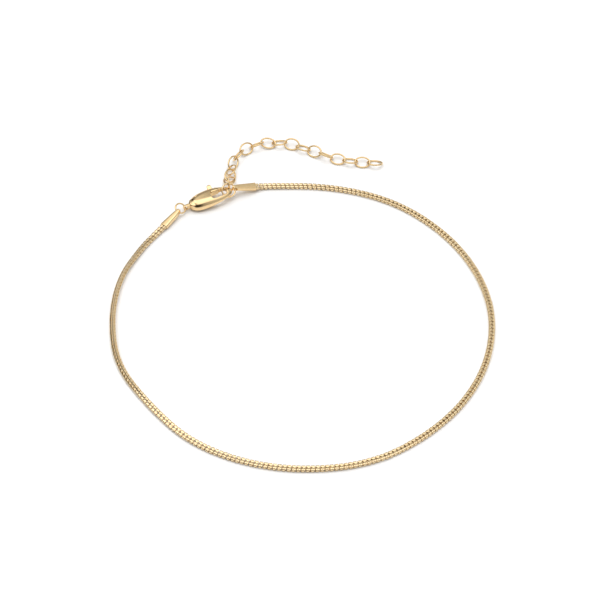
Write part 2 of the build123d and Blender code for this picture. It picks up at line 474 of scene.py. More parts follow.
def plating_tone_group(name):
    """Slow colour drift of the plating, from a paler to a warmer gold."""
    sockets = {"Gold": (0.9, 0.7, 0.4, 1), "Warm": (0.8, 0.6, 0.3, 1), "Patch Size": 1.5, "Amount": 0.5}
    group, given, end = new_group(name, sockets, {"Color": (0, 0, 0, 1), "Mask": 0})
    where = millimetres(group, -900, -250)
    per_mm = maths(group, "DIVIDE", 1.0, given["Patch Size"], -650, -100)
    slow = noise(group, where, per_mm, 3.0, 0.55, -450, -100)
    fine = noise(group, where, 14.0, 2.0, 0.6, -450, -400)
    both = maths(group, "MULTIPLY_ADD", fine, 0.35, -250, -250, c=slow)
    mask = spread_values(group, both, 0.45, 0.95, 0.0, 1.0, -50, -200, smooth=True)
    share = maths(group, "MULTIPLY", mask, given["Amount"], 150, -100)
    colour = blend_colours(group, share, given["Gold"], given["Warm"], 350, 50)
    feed(group, end, Color=colour, Mask=share)
    return group


def edge_wear_group(name):
    """Where outer edges are rubbed bright."""
    group, given, end = new_group(name, {"Amount": 0.5, "Softness": 0.12}, {"Mask": 0})
    shape = put(group, "ShaderNodeNewGeometry", -900, -250)
    top = maths(group, "ADD", given["Softness"], 0.52, -650, -250)
    edge = spread_values(group, shape.outputs["Pointiness"], 0.52, top, 0.0, 1.0, -450, -150, smooth=True)
    broken = noise(group, millimetres(group, -900, -450), 5.0, 4.0, 0.65, -450, -450)
    patchy = spread_values(group, broken, 0.35, 0.65, 0.35, 1.0, -250, -400)
    mask = maths(group, "MULTIPLY", edge, patchy, -50, -200)
    mask = maths(group, "MULTIPLY", mask, given["Amount"], 150, -100, clamp=True)
    feed(group, end, Mask=mask)
    return group


def polish_group(name):
    """Fine polishing marks and tiny pits: roughness and height."""
    sockets = {"Mark Size": 0.05, "Roughness Low": 0.12, "Roughness High": 0.28}
    group, given, end = new_group(name, sockets, {"Roughness": 0, "Height": 0})
    lengthwise = millimetres(group, -900, -150, stretch=(1, 1, 0.22))
    across = millimetres(group, -900, -450, stretch=(0.25, 1, 1))
    per_mm = maths(group, "DIVIDE", 1.0, given["Mark Size"], -650, 50)
    marks = noise(group, lengthwise, per_mm, 3.0, 0.7, -450, 0)
    cross = noise(group, across, per_mm, 2.0, 0.6, -450, -300)
    pits = feed(group, put(group, "ShaderNodeTexVoronoi", -450, -600), Vector=across, Scale=6.0)
    pit = spread_values(group, pits.outputs["Distance"], 0.0, 0.12, 0.0, 1.0, -250, -600, smooth=True)
    lines = maths(group, "ADD", marks, cross, -250, -150)
    low, high = given["Roughness Low"], given["Roughness High"]
    rough = spread_values(group, lines, 0.75, 1.3, low, high, -50, 100)
    height = maths(group, "MULTIPLY_ADD", pit, 0.4, 150, -300, c=lines)
    feed(group, end, Roughness=rough, Height=height)
    return group


def gap_shade_group(name):
    """Painted shade: where ambient occlusion darkens narrow gaps and hollows."""
    group, given, end = new_group(name, {"Reach": 0.3, "Amount": 0.5}, {"Mask": 0})
    reach = maths(group, "MULTIPLY", given["Reach"], MM, -700, -200)
    hidden = put(group, "ShaderNodeAmbientOcclusion", -500, -100, samples=6, only_local=True)
    feed(group, hidden, Distance=reach)
    closed = spread_values(group, hidden.outputs["AO"], 0.15, 0.75, 1.0, 0.0, -250, -100, smooth=True)
    mask = maths(group, "MULTIPLY", closed, given["Amount"], 0, -50, clamp=True)
    feed(group, end, Mask=mask)
    return group


def add_group(tree, name, maker, x, y, **values):
    """Adds a shared group to a material with its own values. The first use makes the group."""
    group = bpy.data.node_groups.get(name) or maker(name)
    return feed(tree, put(tree, "ShaderNodeGroup", x, y, node_tree=group), **values).outputs


def new_material(name):
    """An empty material and its node tree."""
    material = bpy.data.materials.new(name)
    material.use_nodes = True
    material.node_tree.nodes.clear()
    return material, material.node_tree


def show_surface(tree, x, y, **values):
    """Ends a material with a Principled surface that has these inputs."""
    surface = feed(tree, put(tree, "ShaderNodeBsdfPrincipled", x, y), **values)
    feed(tree, put(tree, "ShaderNodeOutputMaterial", x + 300, y), Surface=surface.outputs[0])


# How deep the polishing marks are, in metres, and how much rougher the metal is where the painted gap shade
# is full.
MARK_DEPTH = 0.0000015
GAP_SHADE_DULLNESS = 0.4


def gold_finish(
    name, patch, gap_shade, patch_amount=0.5, wear=1.0, marks=0.05, rough=(0.12, 0.26), gap_shade_reach=0.25,
    paleness=0.0,
):
    """A gold-tone plated metal with colour drift, rubbed edges, polishing marks and painted shade darkening
    its gaps. Sizes in millimetres, and the rest as shares."""
    look = bpy.context.scene.anklet_finish
    material, tree = new_material(name)
    gold, warm = (
        (*[c + (p - c) * paleness for c, p in zip(tint, look.worn)], 1) for tint in (look.gold, look.warm)
    )
    tone = add_group(
        tree, "Plating tone", plating_tone_group, -900, 300, Gold=gold, Warm=warm, Patch_Size=patch,
        Amount=patch_amount,
    )
    edges = add_group(tree, "Edge wear", edge_wear_group, -900, 50, Amount=look.wear * wear, Softness=0.12)
    polish = add_group(
        tree, "Polish marks", polish_group, -900, -200, Mark_Size=marks, Roughness_Low=rough[0],
        Roughness_High=rough[1],
    )
    # Painted shade: ambient occlusion darkens narrow gaps and hollows towards the gap shade colour, and
    # makes them rougher.
    gaps = add_group(tree, "Gap shade", gap_shade_group, -900, -450, Reach=gap_shade_reach, Amount=gap_shade)
    rubbed = blend_colours(tree, edges["Mask"], tone["Color"], (*look.worn, 1), -600, 200)
    colour = blend_colours(tree, gaps["Mask"], rubbed, (*look.gap_shade, 1), -400, 150)
    dull = maths(tree, "MULTIPLY", gaps["Mask"], GAP_SHADE_DULLNESS, -600, -350)
    roughness = maths(tree, "ADD", polish["Roughness"], dull, -400, -200, clamp=True)
    relief = put(tree, "ShaderNodeBump", -400, -450)
    feed(tree, relief, Strength=1.0, Distance=MARK_DEPTH, Height=polish["Height"])
    show_surface(
        tree, -100, 150, Base_Color=colour, Roughness=roughness, Metallic=1.0,
        Normal=relief.outputs["Normal"],
    )
    return material


# ---- the flat chain

# How close a loop's two legs lie to a quarter pitch apart, how far its round end reaches, in leg
# spacings, and how deep that end dips into the chain, as a share of its height.
LOOP_CLOSENESS = 0.88
LOOP_TURN = 1.16
LOOP_DIP = 0.15
# How much of that dip shows in the slope of the wire's flat side, and the points round the end.
DIP_SLOPE = 0.8
END_ANGLES = np.radians(np.linspace(0, 180, 9)[1:-1])
# How far in a loop starts to fold over the chain's edge, in metres, how square that fold is, and the
# angles of its points.
FOLD_REACH = 0.00017
FOLD_SQUARENESS = 3.4
FOLD_ANGLES = np.radians([90, 78, 62, 45, 28, 12, -12, -28, -45, -62, -78, -90])
# How much a loop's two legs draw together, and its wire narrows, in the middle of the fold.
FOLD_PINCH = 0.48
FOLD_NARROWING = 0.32
# How far the chain is lifted for the unevenness of its loops, in metres.
TABLE_CLEARANCE = 0.000018
# How far the chain's ends stop short of its line's ends, inside the caps.
CHAIN_TUCK = 0.0006
# Half the flattened wire's section, from its polished flat side to its back, as shares of its half
# width and half thickness.
WIRE_SECTION = ((0.62, 1.0), (0.86, 0.90), (1.0, 0.40), (1.0, -0.50), (0.65, -1.0))
# The most that a fully loose loop turns (degrees), shifts (pitches) and swells (share), as a spread.
LOOSE_TURN, LOOSE_SHIFT, LOOSE_SWELL = 4, 0.025, 0.03
# Where a loop's middle lies in its pitch, and how finely the chain's twist is smoothed.
LOOP_OFFSET = 0.35
TWIST_STEPS, TWIST_BLUR = 400, 13


def plait_loop(size):
    """One flattened wire loop, folded over the chain's edge. Returns its line and its outward directions
    as (along, across, up), and the wire's width as a share."""
    half = size.wire_thickness / 2
    reach = size.width / 2 - half
    rise = size.thickness / 2 - half
    spread = size.pitch / 4 * LOOP_CLOSENESS
    flat = reach - FOLD_REACH
    shear_over = reach / math.tan(size.slant)
    shear_under = shear_over - size.pitch / 2
    square = 2 / FOLD_SQUARENESS
    line, outward, width = [], [], []
    for side in (1, -1):
        for angle in FOLD_ANGLES[::side]:
            c, s = abs(math.cos(angle)), abs(math.sin(angle))
            above = math.copysign(1, angle)
            drawn = side * spread * (1 - FOLD_PINCH * c * c)
            line.append((drawn, flat + FOLD_REACH * c**square, rise * s**square * above))
            outward.append((0, c ** (2 - square), above * s ** (2 - square)))
            width.append(1 - FOLD_NARROWING * c * c)
        for turn in END_ANGLES:
            dip = LOOP_DIP * math.sin(turn) ** 3
            end = flat - LOOP_TURN * spread * math.sin(turn)
            line.append((side * spread * math.cos(turn), end, -side * rise * (1 - dip)))
            outward.append((0, -dip * DIP_SLOPE, -side))
            width.append(1)
    line, outward = np.array(line), np.array(outward, float)
    inward = (reach - line[:, 1]) / reach
    over = np.clip(line[:, 2] / rise, -1, 1) / 2 + 0.5
    line[:, 0] += inward * (over * shear_over + (1 - over) * shear_under)
    return line, outward, np.array(width)


def flat_wire(centres, outward, width, thickness):
    """A closed loop of flattened wire whose flat side points outward. Returns points and faces."""
    half = np.array(WIRE_SECTION)
    section = np.concatenate([half, half[::-1] * [-1, 1]])
    tangent = unit(np.roll(centres, -1, axis=0) - np.roll(centres, 1, axis=0))
    out = unit(outward - tangent * (outward * tangent).sum(axis=1, keepdims=True))
    sideways = np.cross(tangent, out)
    high = section[None, :, 1, None] * thickness / 2
    wide = section[None, :, 0, None] * width[:, None, None] / 2
    verts = centres[:, None] + out[:, None] * high + sideways[:, None] * wide
    return verts.reshape(-1, 3), skin_faces(len(centres), len(section), closed=True)


def ribbon_frame(line, distance, size):
    """Place, left and up of the turned ribbon, lifted so that its lower edge stays on the table."""
    marks, turns = np.array(CHAIN_TWIST).T
    fine = np.linspace(0, marks[-1], TWIST_STEPS)
    smooth = np.interp(fine, marks, np.radians(turns))
    kernel = np.hanning(TWIST_BLUR)
    smooth = np.convolve(np.pad(smooth, TWIST_BLUR // 2, mode="edge"), kernel / kernel.sum(), mode="valid")
    roll = np.interp(distance, fine, smooth)
    place = line.place(distance)
    _, left, up = line.directions(distance, roll)
    lowest = abs(size.width / 2 * np.sin(roll)) + abs(size.thickness / 2 * np.cos(roll)) + TABLE_CLEARANCE
    place[..., 2] = np.maximum(place[..., 2], lowest)
    return place, left, up


def plait_column(line, side, seed, name):
    """All the loops on one side of the flat chain, as one mesh."""
    size = bpy.context.scene.anklet_chain
    centre, outward, share = plait_loop(size)
    verts, faces = flat_wire(centre, outward, size.wire_width * share, size.wire_thickness)
    verts[:, 1] *= side
    if side > 0:
        faces = faces[:, ::-1]
    count = int((line.length - 2 * CHAIN_TUCK) / size.pitch)
    start = (line.length - count * size.pitch) / 2
    chance = np.random.default_rng(seed)
    loose = size.looseness
    turn = chance.normal(0, math.radians(LOOSE_TURN) * loose, count)[:, None]
    shift = chance.normal(0, size.pitch * LOOSE_SHIFT * loose, count)
    swell = 1 + chance.normal(0, LOOSE_SWELL * loose, count)
    middle = start + size.pitch * (np.arange(count) + LOOP_OFFSET) + shift
    v, n = (verts[None, :, i] * swell[:, None] for i in (1, 2))
    across = v * np.cos(turn) - n * np.sin(turn)
    height = v * np.sin(turn) + n * np.cos(turn)
    along = np.clip(middle[:, None] + verts[None, :, 0], 0, line.length)
    place, left, up = ribbon_frame(line, along, size)
    world = place + left * across[..., None] + up * height[..., None]
    return new_piece(name, world.reshape(-1, 3), repeat_faces(faces, len(verts), count))


class ANKLET_OT_flat_chain(bpy.types.Operator):
    """Builds the flat plaited chain in two columns of wire loops"""

    bl_idname = "anklet.flat_chain"
    bl_label = "Flat chain"

    def execute(self, context):
        line = Line(route_line(CHAIN_ROUTE, "chain_route"))
        finish = gold_finish(
            "chain_gold", patch=2.4, patch_amount=0.6, wear=0.7, marks=0.04, rough=(0.09, 0.20), gap_shade=0.6,
            gap_shade_reach=0.28, paleness=0.25,
        )
        for side, seed, name in ((1, 11, "chain_links_inner"), (-1, 23, "chain_links_outer")):
            settle(plait_column(line, side, seed, name), "anklet", "chain", finish)
        return {"FINISHED"}


# ---- caps, rings and pin

# The caps' own axes run from the ring hole to the mouth, across, and through. Half width and half
# thickness at stations along them, in millimetres, as the CAD has them.
CAP_STATIONS = (
    (-0.48, 0.36, 0.54), (0.0, 0.41, 0.55), (0.8, 0.56, 0.54), (2.4, 0.66, 0.53), (4.4, 0.78, 0.53),
)
# The hole's half length and half height, the cavity's depth and wall, and how boxy the cap is.
CAP_HOLE = (0.41, 0.49)
CAP_CAVITY = 2.1
CAP_WALL = 0.12
CAP_SQUARENESS = 4.2
CAP_SIDES = 64
HOLE_SIDES = 48
# The cap's rounded start and mouth: distance from each (mm), share of its size, and share of the wall.
CAP_START = ((0.01, 0.55), (0.03, 0.85), (0.10, 0.97))
CAP_MOUTH = ((-0.015, 0.985, 0.0), (0.0, 0.955, 0.0), (-0.01, 1.0, 0.9))
# The rings between them: outside from the start and to the mouth, and inside from the mouth (mm), each
# with their number. The punch for the hole reaches this far to each side.
CAP_OUTSIDE = (0.2, 0.05, 40)
CAP_INSIDE = (0.06, 12)
PUNCH_REACH = 2
# Each cap and the middle of its ring hole, in metres, as the CAD has them.
CAPS = (
    ("end_cap_clasp_side", (-0.0242305, 0.0284551, 0.0010459)),
    ("end_cap_ring_side", (-0.0131639, 0.0341472, 0.0019484)),
)
# A cap's mouth is read from its CAD points past this percentile of their distance from the hole.
MOUTH_PERCENTILE = 96
# How evenly a cap's skin is rebuilt (mm), and the rounds of smoothing that soften its edges.
CAP_GRAIN, CAP_ROUNDS = 0.038, 6


def cap_axes(node, hole):
    """A cap's axes: along from its hole, across its broad face, and through it."""
    points = node_points(node) - np.array(hole)
    away = np.linalg.norm(points, axis=1)
    far = points[away > np.percentile(away, MOUTH_PERCENTILE)]
    along = unit(far.mean(axis=0))
    flat = far - np.outer(far @ along, along)
    spread = np.linalg.svd(flat, full_matrices=False)[2]
    across = unit(spread[0] - along * np.dot(spread[0], along))
    through = np.cross(along, across)
    if through[2] < 0:
        across, through = -across, -through
    return np.stack([along, across, through])


def squared_ring(x, half_width, half_thickness):
    """Points round a cap's cross-section, between a box and an oval."""
    angle = (np.arange(CAP_SIDES) + 0.5) * math.tau / CAP_SIDES
    c, s = np.cos(angle), np.sin(angle)
    reach = (np.abs(c) ** CAP_SQUARENESS + np.abs(s) ** CAP_SQUARENESS) ** (1 / CAP_SQUARENESS)
    return np.stack([np.full(CAP_SIDES, x), half_width * c / reach, half_thickness * s / reach], axis=-1)


def cap_sleeve(name):
    """A cap as a closed skin in millimetres: outside from the hole's end to the mouth, and back inside."""
    stations = np.array(CAP_STATIONS)
    wide = np.polyfit(stations[:, 0], stations[:, 1], 3)
    thick = np.polyfit(stations[:, 0], stations[:, 2], 2)
    start, mouth = stations[0, 0], stations[-1, 0]
    rings = [(start + x, share, 0.0) for x, share in CAP_START]
    from_start, to_mouth, count = CAP_OUTSIDE
    rings += [(x, 1.0, 0.0) for x in np.linspace(start + from_start, mouth - to_mouth, count)]
    rings += [(mouth + x, share, CAP_WALL * wall) for x, share, wall in CAP_MOUTH]
    from_mouth, count = CAP_INSIDE
    rings += [(x, 1.0, CAP_WALL) for x in np.linspace(mouth - from_mouth, mouth - CAP_CAVITY, count)]
    skin = [
        squared_ring(x, np.polyval(wide, x) * share - wall, np.polyval(thick, x) * share - wall)
        for x, share, wall in rings
    ]
    return closed_piece(name, np.concatenate(skin), skin_faces(len(skin), CAP_SIDES)[:, TURNED])


def cut_ring_hole(piece):
    """Cuts the oval hole for the ring across the cap's neck."""
    rim = oval([CAP_HOLE[0], 0, 0], [0, 0, CAP_HOLE[1]], HOLE_SIDES)
    verts = np.concatenate([rim - [0, PUNCH_REACH, 0], rim + [0, PUNCH_REACH, 0]])
    punch = closed_piece("cap_hole_punch", verts, skin_faces(2, HOLE_SIDES)[:, TURNED])
    cut = piece.modifiers.new("Ring hole", "BOOLEAN")
    cut.operation = "DIFFERENCE"
    cut.solver = "EXACT"
    cut.object = punch
    apply_modifiers(piece)
    bpy.data.objects.remove(punch)


class ANKLET_OT_end_caps(bpy.types.Operator):
    """Builds the two crimped end caps"""

    bl_idname = "anklet.end_caps"
    bl_label = "End caps"

    def execute(self, context):
        finish = gold_finish("cap_gold", patch=1.2, marks=0.06, rough=(0.10, 0.24), gap_shade=0.5)
        for node, hole in CAPS:
            piece = cap_sleeve(node + "_sleeve")
            cut_ring_hole(piece)
            even_skin(piece, CAP_GRAIN, CAP_ROUNDS)
            axes = cap_axes(node, hole)
            turn = Matrix((axes.T * MM).tolist()).to_4x4()
            turn.translation = hole
            piece.data.transform(turn)
            settle(piece, "anklet", node, finish)
        return {"FINISHED"}


# The gap between a ring's cut ends (mm), and their bevel: its length and widths in half wires.
RING_GAP = 0.035
RING_BEVEL = 0.12
BEVEL_WIDTHS = (0.02, 0.86)
RING_STEPS, RING_SIDES = 120, 20
# Where on each ring its cut is, in radians round from the ring's own first axis.
RING_OPENINGS = (("jump_ring", 2.4), ("end_ring", 5.2))


def wire_ring(node, name, opening):
    """A round wire ring in the place of a CAD ring, with its cut ends nearly closed."""
    centre, axes, half = main_axes(node_points(node))
    wire = half[2]
    radius = (half[0] + half[1]) / 2 - wire
    gap = RING_GAP * MM / radius
    angles = np.linspace(opening + gap / 2, opening + math.tau - gap / 2, RING_STEPS)
    line = centre + radius * (np.outer(np.cos(angles), axes[0]) + np.outer(np.sin(angles), axes[1]))
    into = (unit(line[1] - line[0]), unit(line[-2] - line[-1]))
    bevel = RING_BEVEL * wire
    tip, width = BEVEL_WIDTHS
    first, last = (
        [end + way * bevel * tip, end, end + way * bevel] for end, way in zip(line[[0, -1]], into)
    )
    line = np.concatenate([first, line[1:-1], last[::-1]])
    radii = np.full(len(line), wire)
    radii[0] = radii[-1] = wire * tip
    radii[1] = radii[-2] = wire * width
    tangents = np.gradient(line, axis=0)
    tangents[:2], tangents[-2:] = into[0], -into[1]
    upward = np.tile(axes[2], (len(line), 1))
    return closed_piece(name, *round_skin(line, upward, np.cross(unit(tangents), upward), radii, RING_SIDES))


class ANKLET_OT_rings(bpy.types.Operator):
    """Builds the jump ring and the end ring from bent wire"""

    bl_idname = "anklet.rings"
    bl_label = "Rings"

    def execute(self, context):
        finish = gold_finish(
            "ring_gold", patch=1.0, patch_amount=0.45, marks=0.04, rough=(0.10, 0.22), gap_shade=0.3
        )
        for node, opening in RING_OPENINGS:
            settle(wire_ring(node, node + "_wire", opening), "anklet", node, finish)
        return {"FINISHED"}


# How much wider and longer the rivet is, in metres, once its ends are hammered flush with the cheeks.
PIN_SPREAD = 0.000018
PIN_HEAD = 0.00001
# The rivet is thinner inside the lever: from this share of its half length, to this share of its width,
# over this share of its half length.
PIN_CHEEK = 0.62
PIN_WAIST = 0.7
PIN_STEP = 0.04
# Its domed ends: their height in radii, and the width at shares of that height.
PIN_DOME = 0.18
DOME_WIDTHS = ((0, 0.02), (0.15, 0.55), (0.5, 0.85), (1, 0.97), (1.6, 1.0))
PIN_SIDES = 28


class ANKLET_OT_lever_pin(bpy.types.Operator):
    """Builds the clasp's rivet with its two domed heads"""

    bl_idname = "anklet.lever_pin"
    bl_label = "Lever pin"

    def execute(self, context):
        centre, axes, half = main_axes(node_points("lever_pin"))
        radius = (half[1] + half[2]) / 2 + PIN_SPREAD
        length = half[0] + PIN_HEAD
        dome = PIN_DOME * radius
        profile = [(-length + dome * height, width) for height, width in DOME_WIDTHS]
        profile += [(-length * PIN_CHEEK, 1.0), (length * (PIN_STEP - PIN_CHEEK), PIN_WAIST)]
        profile += [(0.0, PIN_WAIST)]
        profile += [(-x, share) for x, share in profile[-2::-1]]
        line = np.array([centre + axes[0] * x for x, _ in profile])
        radii = [share * radius for _, share in profile]
        skin = tube(line, radii, PIN_SIDES, closed=False, first_normal=axes[1])
        piece = closed_piece("lever_pin_rivet", *skin)
        round_sides(piece)
        finish = gold_finish(
            "pin_gold", patch=0.6, patch_amount=0.7, marks=0.03, rough=(0.18, 0.34), gap_shade=0.7
        )
        settle(piece, "anklet", "lever_pin", finish)
        return {"FINISHED"}


# ---- the clasp

# The clasp's own axes run from its bail to its nose, to its back, and up through it. Its heading and
# rise are in degrees, and the rest in millimetres on those axes, as the CAD has them.
CLASP_HEADING, CLASP_RISE = 25.8, 5.2
CLASP_PIVOT = (2.70, 0.95)
CLASP_OUTLINE = (
    (0.85, 0.0), (1.35, 1.15), (2.6, 1.78), (5.0, 2.05), (7.4, 1.72), (9.15, 0.90), (10.0, -0.2),
    (9.2, -1.25), (7.4, -1.8), (5.0, -1.95), (2.6, -1.75), (1.35, -1.15),
)
OUTLINE_STEPS = 60
# How far in the clasp's sides start to round, how full they are, and where the bail's root ends.
SIDE_ROUNDING = 1.45
SIDE_FULLNESS = 2.1
BAIL_ROOT = (0.7, 1.7)
# Where the sides are widest, as a share of the half thickness above the middle.
SIDE_WAIST = -0.4
# Past this share of the rounding outside the outline, only the knob stands, and keeps its shape.
KNOB_CLEAR = 1.14
# The skin inside this share of the rounding moves with the middle. How sharply the ways of moving
# change over, by depth and by the way that the skin faces.
CORE_SHARE = 0.7
CHANGE_OVER = 10
FACING_CHANGE = 4
# Where the body's thickness is read, from the bail to the nose, and how far round each place.
THICKNESS_STATIONS = np.arange(0.0, 10.3, 0.3)
THICKNESS_REACH = 0.3
# The rounds of smoothing that tumbling the clasp's castings gives.
TUMBLE_ROUNDS = 8


def clasp_axes():
    """The clasp's origin and axes, from its hinge."""
    hinge = frame["joints"][0]
    heading, rise = math.radians(CLASP_HEADING), math.radians(CLASP_RISE)
    level = math.cos(rise)
    along = np.array([level * math.cos(heading), level * math.sin(heading), math.sin(rise)])
    up = -np.array(hinge["axis"], float)
    back = np.cross(up, along)
    origin = np.array(hinge["pos_m"], float) - (along * CLASP_PIVOT[0] + back * CLASP_PIVOT[1]) * MM
    return origin, np.stack([along, back, up])


def smooth_outline():
    """A smooth closed line through the clasp's outline, and the directions into it."""
    points = np.array(CLASP_OUTLINE, float)
    t = (np.arange(OUTLINE_STEPS) / OUTLINE_STEPS)[None, :, None]
    a, b, c, d = (np.roll(points, shift, axis=0)[:, None] for shift in (1, 0, -1, -2))
    line = 0.5 * (2 * b + (c - a) * t + (2 * a - 5 * b + 4 * c - d) * t**2 + (3 * b - a - 3 * c + d) * t**3)
    line = line.reshape(-1, 2)
    along = unit(np.roll(line, -1, axis=0) - np.roll(line, 1, axis=0))
    inward = np.stack([-along[:, 1], along[:, 0]], axis=-1)
    if np.dot(line.mean(axis=0) - line[0], inward[0]) < 0:
        inward = -inward
    return line, inward


def half_thickness(axes, origin, along):
    """The clasp body's half thickness at these distances along it, in millimetres."""
    body = (node_points("clasp_body") - origin) @ axes.T / MM
    stations = THICKNESS_STATIONS
    highest = [np.abs(body[np.abs(body[:, 0] - x) < THICKNESS_REACH, 2]).max() for x in stations]
    return np.interp(along, stations, np.polyval(np.polyfit(stations, highest, 5), stations))


def ramp(value, sharpness=1):
    """A value held between 0 and 1."""
    return np.clip(value * sharpness, 0, 1)


def round_sides(piece):
    """Rounds a clasp piece's upright sides into full pebble-like ones, inside the clasp's outline."""
    origin, axes = clasp_axes()
    local = (vectors(piece.data.vertices) - origin) @ axes.T / MM
    line, inward = smooth_outline()
    tree = KDTree(len(line))
    for i, (x, y) in enumerate(line):
        tree.insert((x, y, 0), i)
    tree.balance()
    nearest = np.array([tree.find((x, y, 0))[1] for x, y in local[:, :2]])
    inward = inward[nearest]
    half = half_thickness(axes, origin, local[:, 0])
    side = np.clip(1 - ((local[:, :2] - line[nearest]) * inward).sum(axis=1) / SIDE_ROUNDING, 0, None)
    above = local[:, 2] / half - SIDE_WAIST
    height = np.where(above > 0, above / (1 - SIDE_WAIST), -above / (1 + SIDE_WAIST))
    reach = np.maximum((side**SIDE_FULLNESS + height**SIDE_FULLNESS) ** (1 / SIDE_FULLNESS), 1e-6)
    facing = (vectors(piece.data.vertex_normals, "vector") @ axes.T)[:, :2]
    outer = ramp(0.5 - FACING_CHANGE * (facing * inward).sum(axis=1))
    outer *= ramp(np.maximum(side, height) - CORE_SHARE, CHANGE_OVER)
    shrink = (outer + (1 - outer) * np.maximum(side, height)) / reach
    shrink = 1 + (shrink - 1) * ramp(KNOB_CLEAR - side, CHANGE_OVER)
    low, high = BAIL_ROOT
    share = ramp((local[:, 0] - low) / (high - low))
    shrink = 1 + (shrink - 1) * share * share * (3 - 2 * share)
    move = np.where(side > 0, SIDE_ROUNDING * side * (1 - shrink), 0)
    local[:, :2] += inward * move[:, None]
    waist = SIDE_WAIST * half
    local[:, 2] = waist + (local[:, 2] - waist) * shrink
    piece.data.vertices.foreach_set("co", (local * MM @ axes + origin).ravel())
    piece.data.update()


def clasp_casting(node, grain, rounds):
    """A clasp piece cast, rounded at its sides, and tumbled smooth."""
    piece = cast_copy(node, node + "_cast", grain, rounds)
    round_sides(piece)
    soften(piece, "Tumbled smooth", TUMBLE_ROUNDS)
    apply_modifiers(piece)
    return piece


class ANKLET_OT_clasp_body(bpy.types.Operator):
    """Builds the lobster clasp's cast body"""

    bl_idname = "anklet.clasp_body"
    bl_label = "Clasp body"

    def execute(self, context):
        # Strong, far-reaching painted gap shade darkens the eye's inner walls and the other hollows.
        finish = gold_finish(
            "clasp_gold", patch=2.0, marks=0.07, rough=(0.10, 0.22), gap_shade=0.8, gap_shade_reach=0.7
        )
        piece = clasp_casting("clasp_body", grain=0.05, rounds=4)
        settle(piece, "anklet", "clasp_body", finish)
        return {"FINISHED"}


class ANKLET_OT_clasp_lever(bpy.types.Operator):
    """Builds the clasp's lever with its thumb knob"""

    bl_idname = "anklet.clasp_lever"
    bl_label = "Clasp lever"

    def execute(self, context):
        # Strong, far-reaching painted gap shade darkens the lever's inner walls in the eye.
        finish = gold_finish("lever_gold", patch=1.2, patch_amount=0.6, gap_shade=0.8, gap_shade_reach=0.7)
        piece = clasp_casting("clasp_lever", grain=0.045, rounds=10)
        settle(piece, "lever", "clasp_lever", finish)
        return {"FINISHED"}


# ---- the extender

# Each link from the end ring outwards: distance along the route (mm), turn about the line, how far
# its nose points up, its swing to the left (degrees), and its lift off the table (mm).
EXTENDER_LINKS = (
    (0.75, 80, -44, 0, 0.45), (2.30, -5, -10, 20, 0.30), (3.70, 30, 8, -10, 0.05), (5.20, -35, -10, 5, 0.05),
    (7.10, 50, 12, -8, 0.0), (9.50, -34, 6, 0, 0.0), (11.90, 28, 0, 0, 0.0), (14.30, -40, 0, 8, 0.0),
    (16.65, -14, 6, -12, 0.0), (19.00, 22, -8, 0, 0.05), (21.50, 36, 8, 6, 0.0), (24.15, -24, 0, 0, 0.0),
    (26.65, 22, 0, 0, 0.0), (29.15, -24, 0, 0, 0.0), (31.65, 22, 0, 0, 0.0), (34.15, -24, 0, 0, 0.0),
    (36.60, 20, 0, 0, 0.0), (39.05, -8, 0, 0, 0.0),
)
# A link may be nudged from its lie so that it hangs in the last one with clear wires: along the line
# (mm), in its turn and nose (degrees), and in its lift (mm). The scales say which nudges come first.
LINK_NUDGES = (
    (-0.3, -0.2, -0.1, 0, 0.1, 0.2), (-45, -30, -15, 0, 15, 30, 45), (-16, -8, 0, 8, 16), (0, 0.1, 0.2, 0.3),
)
NUDGE_SCALES = (0.15, 20, 12, 0.15)
# The least distance between two links' wires, centre to centre, in wire diameters, and what each
# diameter below it counts for against a nudge.
LINK_GAP = 1.05
GAP_WEIGHT = 200
LINK_STEPS, LINK_SIDES = 64, 14


def axis_turns(axis, angles):
    """Rotation matrices about x, y or z for an array of angles."""
    turns = np.zeros((len(angles), 3, 3))
    a, b = (axis + 1) % 3, (axis + 2) % 3
    turns[:, axis, axis] = 1
    turns[:, a, a] = turns[:, b, b] = np.cos(angles)
    turns[:, b, a] = np.sin(angles)
    turns[:, a, b] = -np.sin(angles)
    return turns


def hooked(first, second):
    """Whether two closed wire lines pass through each other."""
    step_a, step_b = np.roll(first, -1, axis=0) - first, np.roll(second, -1, axis=0) - second
    between = (first + step_a / 2)[:, None] - (second + step_b / 2)[None]
    turning = (np.cross(step_a[:, None], step_b[None]) * between).sum(axis=-1)
    return abs((turning / np.linalg.norm(between, axis=-1) ** 3).sum() / (4 * math.pi)) > 0.5


def nearest_gap(lines, other):
    """The least distance from each of several lines to another line."""
    return np.linalg.norm(lines[:, :, None] - other[None, None], axis=-1).min(axis=(1, 2))


def hang_link(route, lie, link, wire, held):
    """Turn and place of a link that hangs in the last of the held lines and clears the others."""
    nudges = np.array(np.meshgrid(*LINK_NUDGES, indexing="ij")).reshape(4, -1).T
    distance, roll, nose, swing, lift = lie
    at = (distance + nudges[:, 0]) * MM
    along, left, up = route.directions(at, 0 * at)
    turns = np.stack([along, left, up], axis=-1) @ axis_turns(2, np.full(len(at), math.radians(swing)))
    turns = turns @ axis_turns(1, -np.radians(nose + nudges[:, 2]))
    turns = turns @ axis_turns(0, np.radians(roll + nudges[:, 1]))
    lines = np.einsum("kij,nj->kni", turns, link[::2])
    places = route.place(at)
    places[:, 2] = (lift + nudges[:, 3]) * MM + wire / 2 - lines[:, :, 2].min(axis=1)
    lines += places[:, None]
    score = ((nudges / NUDGE_SCALES) ** 2).sum(axis=1)
    for other in held:
        score += GAP_WEIGHT * np.clip(LINK_GAP - nearest_gap(lines, other) / wire, 0, None)
    for pick in np.argsort(score, kind="stable"):
        if hooked(lines[pick], held[-1]):
            return turns[pick], places[pick], lines[pick]
    raise RuntimeError("an extender link can't be hung in the last one")


